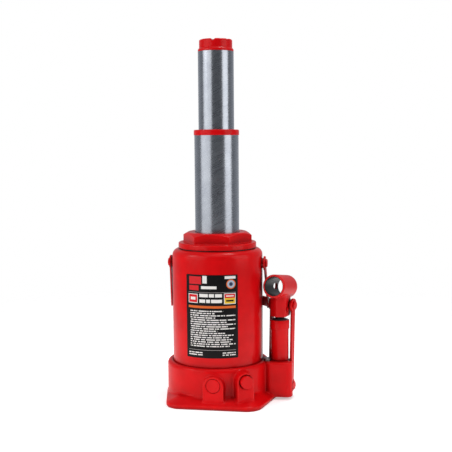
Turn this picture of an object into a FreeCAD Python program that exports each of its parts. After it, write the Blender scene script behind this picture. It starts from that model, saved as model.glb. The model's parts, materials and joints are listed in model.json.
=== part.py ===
import FreeCAD, Part
import math
import os

from FreeCAD import Vector

# Double-ram hydraulic bottle jack, both rams fully out. Millimetres, +Z up.
# The origin is on the ram axis in the plane of the foot, and +X points to the pump.

os.makedirs("parts", exist_ok=True)

# Heights of the stack at rest
BASE_HEIGHT = 48.0
TANK_HEIGHT = 145.0
FLANGE_HEIGHT = 7.0
HEX_HEIGHT = 13.0
COLLAR_HEIGHT = 7.0
SADDLE_HEIGHT = 15.0
OUTER_STROKE = 122.0
INNER_STROKE = 97.0
STOP_GAP = 0.5

# Radii of the stack, each from the one that it fits in or round
OUTER_RAM_RADIUS = 28.2
OUTER_RAM_WALL = 3.4
OUTER_GUIDE_WALL = 3.3
CYLINDER_WALL = 6.5
INNER_GUIDE_WALL = 2.15
COLLAR_OVERHANG = 0.7
SADDLE_STEP = 1.65
OUTER_RAM_BORE = OUTER_RAM_RADIUS - OUTER_RAM_WALL
INNER_RAM_RADIUS = OUTER_RAM_BORE - INNER_GUIDE_WALL
CYLINDER_BORE = OUTER_RAM_RADIUS + OUTER_GUIDE_WALL
CYLINDER_RADIUS = CYLINDER_BORE + CYLINDER_WALL
COLLAR_RADIUS = OUTER_RAM_RADIUS + COLLAR_OVERHANG
SADDLE_NECK_RADIUS = INNER_RAM_RADIUS - SADDLE_STEP
HEX_ACROSS_FLATS = 2 * CYLINDER_RADIUS + 1.6
TANK_RADIUS = 58.0
TANK_WALL = 3.0
TANK_SHOULDER = 8.5
FLANGE_RADIUS = TANK_RADIUS - 8.0
BODY_RADIUS = TANK_RADIUS + 7.5

# Pump, handle socket and link, in the pump's own frame
PUMP_OFFSET = BODY_RADIUS + 14.9
PUMP_TURN = -16.5
PUMP_RADIUS = 11.5
PUMP_COLLAR_RADIUS = 12.4
PUMP_TOP = 100.4
PLUNGER_RADIUS = 5.7
PLUNGER_PIN_HEIGHT = 114.0
PLUNGER_PIN_RADIUS = 3.0
TOP_PIN_BACK = 9.5
TOP_PIN_HEIGHT = 118.2
LOW_PIN_BACK = 4.0
LOW_PIN_HEIGHT = 15.0
LINK_PIN_RADIUS = 3.0
LINK_WIDTH = 8.5
LINK_EYE_RADIUS = 8.6
LINK_THICKNESS = 3.2
LINK_INSIDE = 12.9
STEM_HALF_WIDTH = 10.6
SOCKET_RADIUS = 15.0
SOCKET_BORE = 11.9
SOCKET_LENGTH = 43.5
SOCKET_TILT = 8.5

# Carry bail
BAIL_PIVOT_HEIGHT = 172.7
BAIL_INSIDE = TANK_RADIUS + 2.3
BAIL_THICKNESS = 2.0
BAIL_BAND_BOTTOM = 112.0
BAIL_BAND_HEIGHT = 12.4
BAIL_PIN_RADIUS = 3.5

# Valves in the base
RELEASE_TURN = 28.0
RELEASE_HEIGHT = 34.5
RELEASE_RADIUS = 7.85
PLUG_OFFSET = 6.1
PLUG_HEIGHT = 29.0
PLUG_FACE = -BODY_RADIUS - 7.5
PLUG_DEPTH = 28.0
PLUG_RADIUS = 8.6
BALL_RADIUS = 2.5

# Fits
SLIDE_FIT = 0.08
GLUE = 0.05
WIPER_FIT = 0.1
PIN_FIT = 0.06
BODY_GAP = 0.3

# Derived heights
TANK_TOP = BASE_HEIGHT + TANK_HEIGHT
FLANGE_TOP = TANK_TOP + FLANGE_HEIGHT
NUT_TOP = FLANGE_TOP + HEX_HEIGHT
COLLAR_BOTTOM = NUT_TOP + STOP_GAP + OUTER_STROKE + STOP_GAP
COLLAR_TOP = COLLAR_BOTTOM + COLLAR_HEIGHT
SADDLE_BOTTOM = COLLAR_TOP + STOP_GAP + INNER_STROKE + STOP_GAP
SADDLE_TOP = SADDLE_BOTTOM + SADDLE_HEIGHT


def export(shape, name):
    shape.exportStep("parts/" + name + ".step")


def disc(radius, low, high, x=0.0, y=0.0):
    return Part.makeCylinder(radius, high - low, Vector(x, y, low))


def ring(outer, inner, low, high, x=0.0, y=0.0):
    return disc(outer, low, high, x, y).cut(disc(inner, low - 1, high + 1, x, y))


def rod_x(radius, low, high, y, z):
    return Part.makeCylinder(radius, high - low, Vector(low, y, z), Vector(1, 0, 0))


def drilling(radius, start, end):
    """A round hole between two points."""
    run = Vector(*end) - Vector(*start)
    return Part.makeCylinder(radius, run.Length, Vector(*start), run)


def block(x_low, x_high, y_low, y_high, z_low, z_high):
    size = (x_high - x_low, y_high - y_low, z_high - z_low)
    return Part.makeBox(*size, Vector(x_low, y_low, z_low))


def prism(points, direction):
    corners = [Vector(*p) for p in points]
    face = Part.Face(Part.makePolygon(corners + corners[:1]))
    return face.extrude(Vector(*direction))


def revolve(profile):
    """Turn a closed (radius, height) outline about the Z axis."""
    corners = [Vector(r, 0, z) for r, z in profile]
    face = Part.Face(Part.makePolygon(corners + corners[:1]))
    return face.revolve(Vector(0, 0, 0), Vector(0, 0, 1), 360)


def top_edges(shape, height):
    return [e for e in shape.Edges if abs(e.BoundBox.ZMin - height) < 1e-6
            and abs(e.BoundBox.ZMax - height) < 1e-6]


def upright_edges(shape):
    return [e for e in shape.Edges if e.BoundBox.XLength < 1e-6 and e.BoundBox.YLength < 1e-6]


def to_pump(shape):
    """Carry a shape from the pump's frame, centred on the plunger, to the jack's frame."""
    placed = shape.copy()
    placed.rotate(Vector(0, 0, 0), Vector(0, 0, 1), PUMP_TURN)
    placed.translate(Vector(PUMP_OFFSET, 0, 0))
    return placed


# ---------------------------------------------------------------- base casting

FOOT_EDGE = 4.6
FOOT_RISE = 12.5
FOOT_FRONT = BODY_RADIUS + 12.5
FOOT_BACK = BODY_RADIUS + 0.5
FOOT_CORNER = 22.0
FOOT_SLOPE = 15.0
BODY_EDGE = 4.5
PUMP_BOSS_DEPTH = 19.0
PUMP_BOSS_CORNER = 7.0
PUMP_BOSS_EDGE = 1.2
LUG_BACK = 12.5
NECK_FRONT = -11.0
NECK_BACK = 6.0
RELEASE_BOSS_HALF = 10.8
RELEASE_BOSS_LENGTH = 30.0
PLUG_BOSS_HALF = 13.0
PLUG_BOSS_LENGTH = 25.0
PLUG_BOSS_INSET = 1.5
TANK_SEAT = BASE_HEIGHT - 4.0
TANK_SEAT_WIDTH = 9.0
BOSS_HALF = 17.6
BOSS_BOTTOM = 3.3
CYLINDER_SEAT = 24.0
WELL_FLOOR = 40.0
SPIGOT_RADIUS = 8.0
SPIGOT_BOTTOM = 26.0
LINK_SLOT = LINK_INSIDE - BODY_GAP
RELEASE_DIRECTION = Vector(math.sin(math.radians(RELEASE_TURN)), -math.cos(math.radians(RELEASE_TURN)), 0)
RELEASE_REACH = BODY_RADIUS + 14.517
RELEASE_SIDE = 10.119
RELEASE_ACROSS = Vector(-RELEASE_DIRECTION.y, RELEASE_DIRECTION.x, 0)
RELEASE_FACE = RELEASE_DIRECTION * RELEASE_REACH + RELEASE_ACROSS * RELEASE_SIDE + Vector(0, 0, RELEASE_HEIGHT)
RELEASE_PROUD = 5.0
STUB_GAP = 0.35
LOW_PIN_END = 5.5
PLUG_SEAT = 12.5
RELIEF_BORE = 4.2
RELIEF_WAY = 1.5
VALVE_BORE = 3.2
VALVE_SEAT = 1.8
SUCTION_SEAT = 14.0
DELIVERY_SEAT = 18.0
STRAINER_X = CYLINDER_RADIUS + 4.0
STRAINER_Y = -13.0
OIL_WAY = 1.5
OIL_WAY_HEIGHT = 21.0
OIL_WAY_X = CYLINDER_RADIUS - 8.0
SUCTION_WAY_HEIGHT = 11.0
DELIVERY_SCREW_RADIUS = 4.0
DELIVERY_SCREW_SEAT = 30.0
RELEASE_STUB_DEPTH = 6.0
RELEASE_SHANK = 6.0
RELEASE_CHAMBER = 3.6
RELEASE_CHAMBER_DEPTH = 28.0
RELEASE_SEAT_DEPTH = 35.0
DRAIN_DEPTH = 36.0
DRAIN_X = -8.0
DRAIN_Y = 15.0
SPILL_DEPTH = 33.0
SPILL_RADIUS = 1.2
DELIVERY_X = PUMP_OFFSET - 15.4
DELIVERY_Y = -6.5


def foot_outline(inset, height):
    """The foot's outline, a round-cornered hexagon, drawn in by an inset at a height."""
    corners = [(13.5 - BODY_RADIUS, -FOOT_FRONT), (BODY_RADIUS - 3.5, -FOOT_FRONT), (PUMP_OFFSET - 0.4, 6),
               (BODY_RADIUS - 7.5, FOOT_BACK), (17.5 - BODY_RADIUS, FOOT_BACK), (-BODY_RADIUS - 4.5, 6)]
    plate = prism([(x, y, 0) for x, y in corners], (0, 0, 1))
    plate = plate.makeFillet(FOOT_CORNER, upright_edges(plate))
    wire = [f for f in plate.Faces if f.BoundBox.ZLength < 1e-6][0].OuterWire
    if inset:
        wire = wire.makeOffset2D(-inset)
    wire.translate(Vector(0, 0, height - wire.BoundBox.ZMin))
    return wire


def release_rod(radius, start, end):
    """A round bar on the release valve's axis; distances run inwards from the boss's face."""
    inwards = RELEASE_DIRECTION * -1
    return Part.makeCylinder(radius, end - start, RELEASE_FACE + inwards * start, inwards)


def arch_boss(half_width, centre_height, length):
    """A boss with an arched top and a foot that reaches the plate, along +Y from the origin."""
    arch = Part.makeCylinder(half_width, length, Vector(0, 0, centre_height), Vector(0, 1, 0))
    leg = block(-half_width, half_width, 0, length, FOOT_EDGE, centre_height)
    return arch.fuse(leg).removeSplitter()


def make_base():
    plate = Part.Face(foot_outline(0, 0)).extrude(Vector(0, 0, FOOT_EDGE))
    slope = Part.makeLoft([foot_outline(0, FOOT_EDGE), foot_outline(FOOT_SLOPE, FOOT_RISE)], True, True)
    body = disc(BODY_RADIUS, 0, BASE_HEIGHT)
    body = body.makeFillet(BODY_EDGE, top_edges(body, BASE_HEIGHT))

    boss = block(PUMP_OFFSET - BOSS_HALF, PUMP_OFFSET + BOSS_HALF, -PUMP_BOSS_DEPTH, PUMP_BOSS_DEPTH,
                 BOSS_BOTTOM, BASE_HEIGHT)
    boss = boss.makeFillet(PUMP_BOSS_CORNER, upright_edges(boss))
    boss = boss.makeFillet(PUMP_BOSS_EDGE, top_edges(boss, BASE_HEIGHT))
    wide = block(-40, 40, -40, -0.5, 0, BASE_HEIGHT + 1)
    core = block(-LINK_SLOT, LINK_SLOT, -40, LUG_BACK, 0, BASE_HEIGHT + 1)
    boss = boss.common(to_pump(wide.fuse(core)))
    neck = block(CYLINDER_RADIUS + 12, PUMP_OFFSET - 8, NECK_FRONT, NECK_BACK, BOSS_BOTTOM, BASE_HEIGHT)

    release_boss = arch_boss(RELEASE_BOSS_HALF, RELEASE_HEIGHT, RELEASE_BOSS_LENGTH)
    release_boss.rotate(Vector(0, 0, 0), Vector(0, 0, 1), RELEASE_TURN)
    release_boss.translate(Vector(RELEASE_FACE.x, RELEASE_FACE.y, 0))
    plug_boss = arch_boss(PLUG_BOSS_HALF, PLUG_HEIGHT - PLUG_BOSS_INSET, PLUG_BOSS_LENGTH)
    plug_boss.translate(Vector(PLUG_OFFSET, PLUG_FACE + PLUG_BOSS_INSET, 0))

    solid = plate.multiFuse([slope, body, neck, boss, release_boss, plug_boss])

    eye_room = LINK_EYE_RADIUS + 1.0
    for low, high in ((LINK_SLOT, 30), (-20.5, -LINK_SLOT)):
        solid = solid.cut(to_pump(rod_x(eye_room, low, high, LOW_PIN_BACK, LOW_PIN_HEIGHT)))
        back = LOW_PIN_BACK + eye_room
        solid = solid.cut(to_pump(block(low, high, -0.5, back, LOW_PIN_HEIGHT - eye_room, BASE_HEIGHT + 1)))

    pump_x = PUMP_OFFSET
    drain = RELEASE_FACE - RELEASE_DIRECTION * DRAIN_DEPTH
    drain_end = (drain.x + DRAIN_X, drain.y + DRAIN_Y)
    spill = RELEASE_FACE - RELEASE_DIRECTION * SPILL_DEPTH
    cuts = [
        disc(CYLINDER_RADIUS, CYLINDER_SEAT, BASE_HEIGHT + 1),
        ring(TANK_RADIUS, TANK_RADIUS - TANK_SEAT_WIDTH, TANK_SEAT, BASE_HEIGHT + 1),
        ring(TANK_RADIUS - TANK_SEAT_WIDTH, CYLINDER_RADIUS - 1, WELL_FLOOR, BASE_HEIGHT + 1),
        disc(SPIGOT_RADIUS, SPIGOT_BOTTOM - 2, BASE_HEIGHT + 1, pump_x),
        disc(VALVE_BORE, SUCTION_SEAT, SPIGOT_BOTTOM, pump_x),
        disc(VALVE_SEAT, SUCTION_WAY_HEIGHT, SUCTION_SEAT + 1, pump_x),
        drilling(VALVE_SEAT, (STRAINER_X, STRAINER_Y, SUCTION_WAY_HEIGHT), (pump_x, 0, SUCTION_WAY_HEIGHT)),
        disc(VALVE_SEAT, SUCTION_WAY_HEIGHT, WELL_FLOOR + 1, STRAINER_X, STRAINER_Y),
        disc(DELIVERY_SCREW_RADIUS, DELIVERY_SCREW_SEAT, BASE_HEIGHT + 1, DELIVERY_X, DELIVERY_Y),
        disc(VALVE_BORE, DELIVERY_SEAT, DELIVERY_SCREW_SEAT + 1, DELIVERY_X, DELIVERY_Y),
        disc(VALVE_SEAT, DELIVERY_SEAT - 2, DELIVERY_SEAT + 1, DELIVERY_X, DELIVERY_Y),
        drilling(OIL_WAY, (pump_x, 0, 22), (DELIVERY_X, DELIVERY_Y, DELIVERY_SEAT - 1)),
        drilling(OIL_WAY, (OIL_WAY_X, 0, OIL_WAY_HEIGHT), (DELIVERY_X, DELIVERY_Y, DELIVERY_SCREW_SEAT - 3)),
        disc(OIL_WAY, OIL_WAY_HEIGHT, CYLINDER_SEAT + 1, OIL_WAY_X),
        release_rod(RELEASE_RADIUS + STUB_GAP, -1, RELEASE_STUB_DEPTH),
        release_rod(RELEASE_SHANK + PIN_FIT, RELEASE_STUB_DEPTH - 1, RELEASE_CHAMBER_DEPTH),
        release_rod(RELEASE_CHAMBER, RELEASE_CHAMBER_DEPTH - 1, RELEASE_SEAT_DEPTH),
        release_rod(VALVE_SEAT, RELEASE_SEAT_DEPTH - 1, RELEASE_SEAT_DEPTH + 2),
        disc(OIL_WAY, OIL_WAY_HEIGHT, RELEASE_HEIGHT, drain.x, drain.y),
        drilling(OIL_WAY, (drain.x, drain.y, OIL_WAY_HEIGHT), (*drain_end, OIL_WAY_HEIGHT)),
        disc(OIL_WAY, OIL_WAY_HEIGHT, CYLINDER_SEAT + 1, *drain_end),
        disc(SPILL_RADIUS, RELEASE_HEIGHT, WELL_FLOOR + 1, spill.x, spill.y),
        to_pump(rod_x(LINK_PIN_RADIUS, -LINK_SLOT - 1, -LOW_PIN_END, LOW_PIN_BACK, LOW_PIN_HEIGHT)),
        to_pump(rod_x(LINK_PIN_RADIUS, LOW_PIN_END, LINK_SLOT + 1, LOW_PIN_BACK, LOW_PIN_HEIGHT)),
    ]
    plug_axis = Vector(PLUG_OFFSET, PLUG_FACE, PLUG_HEIGHT)
    cuts.append(Part.makeCylinder(PLUG_RADIUS, PLUG_SEAT, plug_axis, Vector(0, 1, 0)))
    cuts.append(Part.makeCylinder(RELIEF_BORE, PLUG_DEPTH, plug_axis, Vector(0, 1, 0)))
    cuts.append(Part.makeCylinder(RELIEF_WAY, PLUG_DEPTH + 12, plug_axis, Vector(0, 1, 0)))
    for tool in cuts:
        solid = solid.cut(tool)
    return solid.removeSplitter()


export(make_base(), "base_casting")

# Washer under the main cylinder and the two tank gaskets
SEAT_WASHER = 2.0
GASKET = 1.0
seat_washer = ring(CYLINDER_RADIUS, CYLINDER_BORE + 2, CYLINDER_SEAT, CYLINDER_SEAT + SEAT_WASHER)
export(seat_washer, "cylinder_seat_washer")
TANK_BOTTOM = TANK_SEAT + GASKET
export(ring(TANK_RADIUS, TANK_RADIUS - TANK_SEAT_WIDTH + 1, TANK_SEAT, TANK_BOTTOM), "tank_bottom_gasket")
LIP_INNER = CYLINDER_RADIUS + 3.5
export(ring(FLANGE_RADIUS - 1.5, LIP_INNER, TANK_TOP - GASKET, TANK_TOP), "tank_top_gasket")


def tank_wall(radius, top, shoulder):
    """A round wall with a rounded shoulder that turns in to a flat top."""
    wall = disc(radius, TANK_BOTTOM, top)
    return wall.makeFillet(shoulder, top_edges(wall, top))


def make_tank():
    top = TANK_TOP - GASKET
    outside = tank_wall(TANK_RADIUS, top, TANK_SHOULDER)
    inside = tank_wall(TANK_RADIUS - TANK_WALL, top - TANK_WALL, TANK_SHOULDER - TANK_WALL)
    tank = outside.cut(inside).cut(disc(LIP_INNER, top - TANK_WALL - 1, top + 1))
    for side in (-1, 1):
        stud = rod_x(BAIL_PIN_RADIUS, TANK_RADIUS - TANK_WALL - 1, TANK_RADIUS + 1, 0, BAIL_PIVOT_HEIGHT)
        if side < 0:
            stud = stud.mirror(Vector(0, 0, 0), Vector(1, 0, 0))
        tank = tank.cut(stud)
    filler = Part.makeCylinder(FILLER_RADIUS, 10, Vector(0, TANK_RADIUS - 7, FILLER_HEIGHT), Vector(0, 1, 0))
    return tank.cut(filler)


# Rubber filler plug in the back of the tank
FILLER_RADIUS = 5.0
FILLER_HEIGHT = 152.0
FILLER_HEAD_RADIUS = 8.5
FILLER_HEAD_HEIGHT = 2.6


def make_filler_plug():
    back = TANK_RADIUS - TANK_WALL
    stem = Part.makeCylinder(FILLER_RADIUS, 7, Vector(0, back - 2.5, FILLER_HEIGHT), Vector(0, 1, 0))
    head = Part.makeCone(FILLER_HEAD_RADIUS, FILLER_HEAD_RADIUS - 1.5, FILLER_HEAD_HEIGHT,
                         Vector(0, TANK_RADIUS + GLUE, FILLER_HEIGHT), Vector(0, 1, 0))
    return stem.fuse(head).removeSplitter()


export(make_tank(), "reservoir_tank")
export(make_filler_plug(), "filler_plug")

# Label, a thin sheet bent round the front of the tank
LABEL_LOW = 60.5
LABEL_HIGH = 164.5
LABEL_HALF_ANGLE = 32.2
LABEL_CENTRE = 2.6
LABEL_THICKNESS = 0.3


def make_label():
    inner = TANK_RADIUS + GLUE
    outer = inner + LABEL_THICKNESS
    corners = [Vector(inner, 0, LABEL_LOW), Vector(outer, 0, LABEL_LOW),
               Vector(outer, 0, LABEL_HIGH), Vector(inner, 0, LABEL_HIGH)]
    face = Part.Face(Part.makePolygon(corners + corners[:1]))
    sheet = face.revolve(Vector(0, 0, 0), Vector(0, 0, 1), 2 * LABEL_HALF_ANGLE)
    sheet.rotate(Vector(0, 0, 0), Vector(0, 0, 1), LABEL_CENTRE - 90 - LABEL_HALF_ANGLE)
    return sheet


export(make_label(), "label")

# ---------------------------------------------------------------- main cylinder and top nut

CYLINDER_BOTTOM = CYLINDER_SEAT + SEAT_WASHER
CYLINDER_TOP = FLANGE_TOP + 5.0
PISTON_HEIGHT = 24.0
PISTON_BOTTOM = CYLINDER_SEAT + SEAT_WASHER + OUTER_STROKE + 1.5
PISTON_TOP = PISTON_BOTTOM + PISTON_HEIGHT
WIPER_LOW = NUT_TOP - 6.5
WIPER_HIGH = NUT_TOP - 2.0
WIPER_WIDTH = 4.0
NUT_GAP = 0.4
NUT_CHAMFER = 30.0
FLANGE_EDGE = 1.5

export(ring(CYLINDER_RADIUS, CYLINDER_BORE, CYLINDER_BOTTOM, CYLINDER_TOP), "main_cylinder")
guide_sleeve = ring(CYLINDER_BORE, OUTER_RAM_RADIUS + SLIDE_FIT, PISTON_TOP + STOP_GAP, CYLINDER_TOP)
export(guide_sleeve, "outer_guide_sleeve")


def make_top_nut():
    corner = HEX_ACROSS_FLATS / math.sqrt(3)
    angles = [math.radians(60 * i) for i in range(6)]
    outline = [(corner * math.cos(a), corner * math.sin(a), FLANGE_TOP - 1) for a in angles]
    hexagon = prism(outline, (0, 0, HEX_HEIGHT + 1))
    crown = CYLINDER_RADIUS - 0.5
    chamfer_low = NUT_TOP - (corner - crown) * math.tan(math.radians(NUT_CHAMFER))
    cap = revolve([(0, FLANGE_TOP - 2), (corner + 1, FLANGE_TOP - 2), (corner + 1, chamfer_low),
                   (corner, chamfer_low), (crown, NUT_TOP), (0, NUT_TOP)])
    hexagon = hexagon.common(cap)
    flange = disc(FLANGE_RADIUS, TANK_TOP, FLANGE_TOP)
    flange = flange.makeFillet(FLANGE_EDGE, top_edges(flange, FLANGE_TOP))
    nut = flange.fuse(hexagon)
    nut = nut.cut(disc(CYLINDER_RADIUS, TANK_TOP - 1, CYLINDER_TOP))
    nut = nut.cut(disc(OUTER_RAM_RADIUS + NUT_GAP, CYLINDER_TOP - 1, NUT_TOP + 1))
    nut = nut.cut(disc(OUTER_RAM_RADIUS + WIPER_WIDTH, WIPER_LOW, WIPER_HIGH))
    return nut.removeSplitter()


export(make_top_nut(), "top_nut")
WIPER_INNER = OUTER_RAM_RADIUS + WIPER_FIT
export(ring(OUTER_RAM_RADIUS + WIPER_WIDTH, WIPER_INNER, WIPER_LOW, WIPER_HIGH), "outer_ram_wiper")

# ---------------------------------------------------------------- outer ram

PISTON_RADIUS = CYLINDER_BORE - SLIDE_FIT
TUBE_BOTTOM = PISTON_BOTTOM + 8
FLOOR = PISTON_BOTTOM + 15
CUP_LOW = PISTON_BOTTOM + 2
CUP_HIGH = PISTON_BOTTOM + 7
NECK_LENGTH = 12.0
CUP_WIDTH = 4.5
GUIDE_WIDTH = 2.0
GUIDE_LOW = PISTON_TOP - 9
GUIDE_HIGH = PISTON_TOP - 3
FLOOR_WAY = 4.0
COLLAR_CHAMFER = 0.9
COLLAR_WIPER_LOW = COLLAR_TOP - 5
COLLAR_WIPER_HIGH = COLLAR_TOP - 1.5
COLLAR_WIPER_WIDTH = 2.2


def make_outer_piston():
    piston = disc(PISTON_RADIUS, PISTON_BOTTOM, PISTON_TOP)
    piston = piston.cut(ring(PISTON_RADIUS + 1, PISTON_RADIUS - CUP_WIDTH, CUP_LOW, CUP_HIGH))
    piston = piston.cut(ring(PISTON_RADIUS + 1, PISTON_RADIUS - GUIDE_WIDTH, GUIDE_LOW, GUIDE_HIGH))
    piston = piston.cut(ring(OUTER_RAM_RADIUS, OUTER_RAM_BORE, TUBE_BOTTOM, PISTON_TOP + 1))
    piston = piston.cut(disc(OUTER_RAM_BORE + 1, FLOOR, PISTON_TOP + 1))
    return piston.cut(disc(FLOOR_WAY, PISTON_BOTTOM - 1, FLOOR + 1))


def make_collar():
    head = disc(COLLAR_RADIUS, COLLAR_BOTTOM, COLLAR_TOP)
    head = head.makeChamfer(COLLAR_CHAMFER, top_edges(head, COLLAR_TOP))
    neck = disc(OUTER_RAM_BORE, COLLAR_BOTTOM - NECK_LENGTH, COLLAR_BOTTOM)
    collar = head.fuse(neck)
    collar = collar.cut(disc(INNER_RAM_RADIUS + SLIDE_FIT, COLLAR_BOTTOM - NECK_LENGTH - 1, COLLAR_TOP + 1))
    collar = collar.cut(disc(INNER_RAM_RADIUS + COLLAR_WIPER_WIDTH, COLLAR_WIPER_LOW, COLLAR_WIPER_HIGH))
    return collar.removeSplitter()


export(ring(OUTER_RAM_RADIUS, OUTER_RAM_BORE, TUBE_BOTTOM, COLLAR_BOTTOM), "outer_ram_tube")
export(make_outer_piston(), "outer_ram_piston")
export(ring(PISTON_RADIUS, PISTON_RADIUS - CUP_WIDTH, CUP_LOW, CUP_HIGH), "outer_ram_cup_seal")
export(ring(PISTON_RADIUS, PISTON_RADIUS - GUIDE_WIDTH, GUIDE_LOW, GUIDE_HIGH), "outer_ram_guide_ring")
export(make_collar(), "outer_ram_collar")
collar_wiper = ring(INNER_RAM_RADIUS + COLLAR_WIPER_WIDTH, INNER_RAM_RADIUS + WIPER_FIT,
                    COLLAR_WIPER_LOW, COLLAR_WIPER_HIGH)
export(collar_wiper, "inner_ram_wiper")

# ---------------------------------------------------------------- inner ram

HEAD_HEIGHT = 20.0
HEAD_BOTTOM = FLOOR + INNER_STROKE + 1.0
HEAD_TOP = HEAD_BOTTOM + HEAD_HEIGHT
HEAD_RADIUS = OUTER_RAM_BORE - SLIDE_FIT
ROD_SPIGOT = INNER_RAM_RADIUS - 5.65
SLEEVE_TOP = COLLAR_BOTTOM - NECK_LENGTH
SLEEVE_FIT = 0.15
INNER_CUP_WIDTH = 4.0
INNER_CUP_LOW = HEAD_BOTTOM + 2
INNER_CUP_HIGH = HEAD_BOTTOM + 6.5
INNER_GUIDE_LOW = HEAD_TOP - 8
INNER_GUIDE_HIGH = HEAD_TOP - 3
SADDLE_STUD = 9.0
SADDLE_STUD_LENGTH = 17.5
SADDLE_FOOT = 2.6
SADDLE_CHAMFER = 1.2
GROOVES = 6
GROOVE_HALF = 2.8
GROOVE_DEPTH = 3.6
GROOVE_START = 8.0


def make_inner_rod():
    rod = disc(INNER_RAM_RADIUS, HEAD_TOP, SADDLE_BOTTOM)
    rod = rod.fuse(disc(ROD_SPIGOT, HEAD_BOTTOM, HEAD_TOP))
    socket = disc(SADDLE_STUD, SADDLE_BOTTOM - SADDLE_STUD_LENGTH - STOP_GAP, SADDLE_BOTTOM + 1)
    return rod.cut(socket).removeSplitter()


def make_inner_head():
    head = ring(HEAD_RADIUS, ROD_SPIGOT, HEAD_BOTTOM, HEAD_TOP)
    head = head.cut(ring(HEAD_RADIUS + 1, HEAD_RADIUS - INNER_CUP_WIDTH, INNER_CUP_LOW, INNER_CUP_HIGH))
    return head.cut(ring(HEAD_RADIUS + 1, HEAD_RADIUS - GUIDE_WIDTH, INNER_GUIDE_LOW, INNER_GUIDE_HIGH))


def make_saddle():
    foot = SADDLE_BOTTOM + SADDLE_FOOT
    crown = revolve([(0, SADDLE_BOTTOM), (INNER_RAM_RADIUS, SADDLE_BOTTOM), (INNER_RAM_RADIUS, foot),
                     (SADDLE_NECK_RADIUS, foot + 1.6), (SADDLE_NECK_RADIUS, SADDLE_TOP - SADDLE_CHAMFER),
                     (SADDLE_NECK_RADIUS - SADDLE_CHAMFER, SADDLE_TOP), (0, SADDLE_TOP)])
    high = SADDLE_TOP + 0.1
    for i in range(GROOVES):
        groove = prism([(GROOVE_START, -GROOVE_HALF, high), (GROOVE_START, GROOVE_HALF, high),
                        (GROOVE_START, 0, SADDLE_TOP - GROOVE_DEPTH)], (SADDLE_NECK_RADIUS, 0, 0))
        groove.rotate(Vector(0, 0, 0), Vector(0, 0, 1), (i + 0.5) * 360 / GROOVES)
        crown = crown.cut(groove)
    return crown.fuse(disc(SADDLE_STUD, SADDLE_BOTTOM - SADDLE_STUD_LENGTH, SADDLE_BOTTOM)).removeSplitter()


export(make_inner_rod(), "inner_ram_rod")
export(make_inner_head(), "inner_ram_head")
export(ring(HEAD_RADIUS, HEAD_RADIUS - INNER_CUP_WIDTH, INNER_CUP_LOW, INNER_CUP_HIGH), "inner_ram_cup_seal")
export(ring(HEAD_RADIUS, HEAD_RADIUS - GUIDE_WIDTH, INNER_GUIDE_LOW, INNER_GUIDE_HIGH), "inner_ram_guide_ring")
export(make_saddle(), "saddle")
inner_sleeve = ring(OUTER_RAM_BORE, INNER_RAM_RADIUS + SLEEVE_FIT, HEAD_TOP + STOP_GAP, SLEEVE_TOP)
export(inner_sleeve, "inner_guide_sleeve")

# ---------------------------------------------------------------- pump

PLUNGER_BORE = PLUNGER_RADIUS + PIN_FIT
PUMP_SEAT = BASE_HEIGHT + 1.0
PUMP_WIPER_RADIUS = 9.4
PLUNGER_SEAL_LOW = 40.0
PLUNGER_BOTTOM = SPIGOT_BOTTOM + 4.0
EYE_RADIUS = PLUNGER_RADIUS
PIN_SLOT = 1.1
PIN_SLOT_GAP = 0.35
PUMP_COLLAR_HEIGHT = 11.5
PUMP_WIPER_DEPTH = 3.5
PUMP_WIPER_LIP = 1.2
PLUNGER_SEAL_WIDTH = 1.5
PLUNGER_SEAL_HEIGHT = 3.0
PLUNGER_EYE_HALF = 5.6
PUMP_WASHER_RADIUS = 10.5


def make_pump_cylinder():
    barrel = disc(PUMP_RADIUS, PUMP_SEAT, PUMP_TOP - 2)
    collar = disc(PUMP_COLLAR_RADIUS, PUMP_TOP - PUMP_COLLAR_HEIGHT, PUMP_TOP)
    collar = collar.makeChamfer(0.8, top_edges(collar, PUMP_TOP))
    spigot = disc(SPIGOT_RADIUS, SPIGOT_BOTTOM, PUMP_SEAT)
    cylinder = barrel.multiFuse([collar, spigot])
    cylinder = cylinder.cut(disc(PLUNGER_BORE, SPIGOT_BOTTOM - 1, PUMP_TOP + 1))
    cylinder = cylinder.cut(disc(PUMP_WIPER_RADIUS, PUMP_TOP - PUMP_WIPER_DEPTH, PUMP_TOP + 1))
    return cylinder.removeSplitter()


def make_pump_wiper():
    wiper = disc(PUMP_WIPER_RADIUS, PUMP_TOP - PUMP_WIPER_DEPTH, PUMP_TOP + PUMP_WIPER_LIP)
    wiper = wiper.makeChamfer(1.0, top_edges(wiper, PUMP_TOP + PUMP_WIPER_LIP))
    return wiper.cut(disc(PLUNGER_RADIUS + WIPER_FIT, PUMP_TOP - 4, PUMP_TOP + 2))


def make_plunger():
    """The plunger's eye is a slot along the pump, so that the pin's small arc has room."""
    rod = disc(PLUNGER_RADIUS, PLUNGER_BOTTOM, PLUNGER_PIN_HEIGHT)
    rod = rod.fuse(rod_x(EYE_RADIUS, -PLUNGER_EYE_HALF, PLUNGER_EYE_HALF, 0, PLUNGER_PIN_HEIGHT))
    radius = PLUNGER_PIN_RADIUS + PIN_SLOT_GAP
    slot = rod_x(radius, -8, 8, -PIN_SLOT, PLUNGER_PIN_HEIGHT)
    slot = slot.fuse(rod_x(radius, -8, 8, PIN_SLOT, PLUNGER_PIN_HEIGHT))
    slot = slot.fuse(block(-8, 8, -PIN_SLOT, PIN_SLOT,
                           PLUNGER_PIN_HEIGHT - radius, PLUNGER_PIN_HEIGHT + radius))
    rod = rod.cut(slot)
    seal_high = PLUNGER_SEAL_LOW + PLUNGER_SEAL_HEIGHT
    rod = rod.cut(ring(PLUNGER_RADIUS + 1, PLUNGER_RADIUS - PLUNGER_SEAL_WIDTH, PLUNGER_SEAL_LOW, seal_high))
    return rod.removeSplitter()


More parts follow.
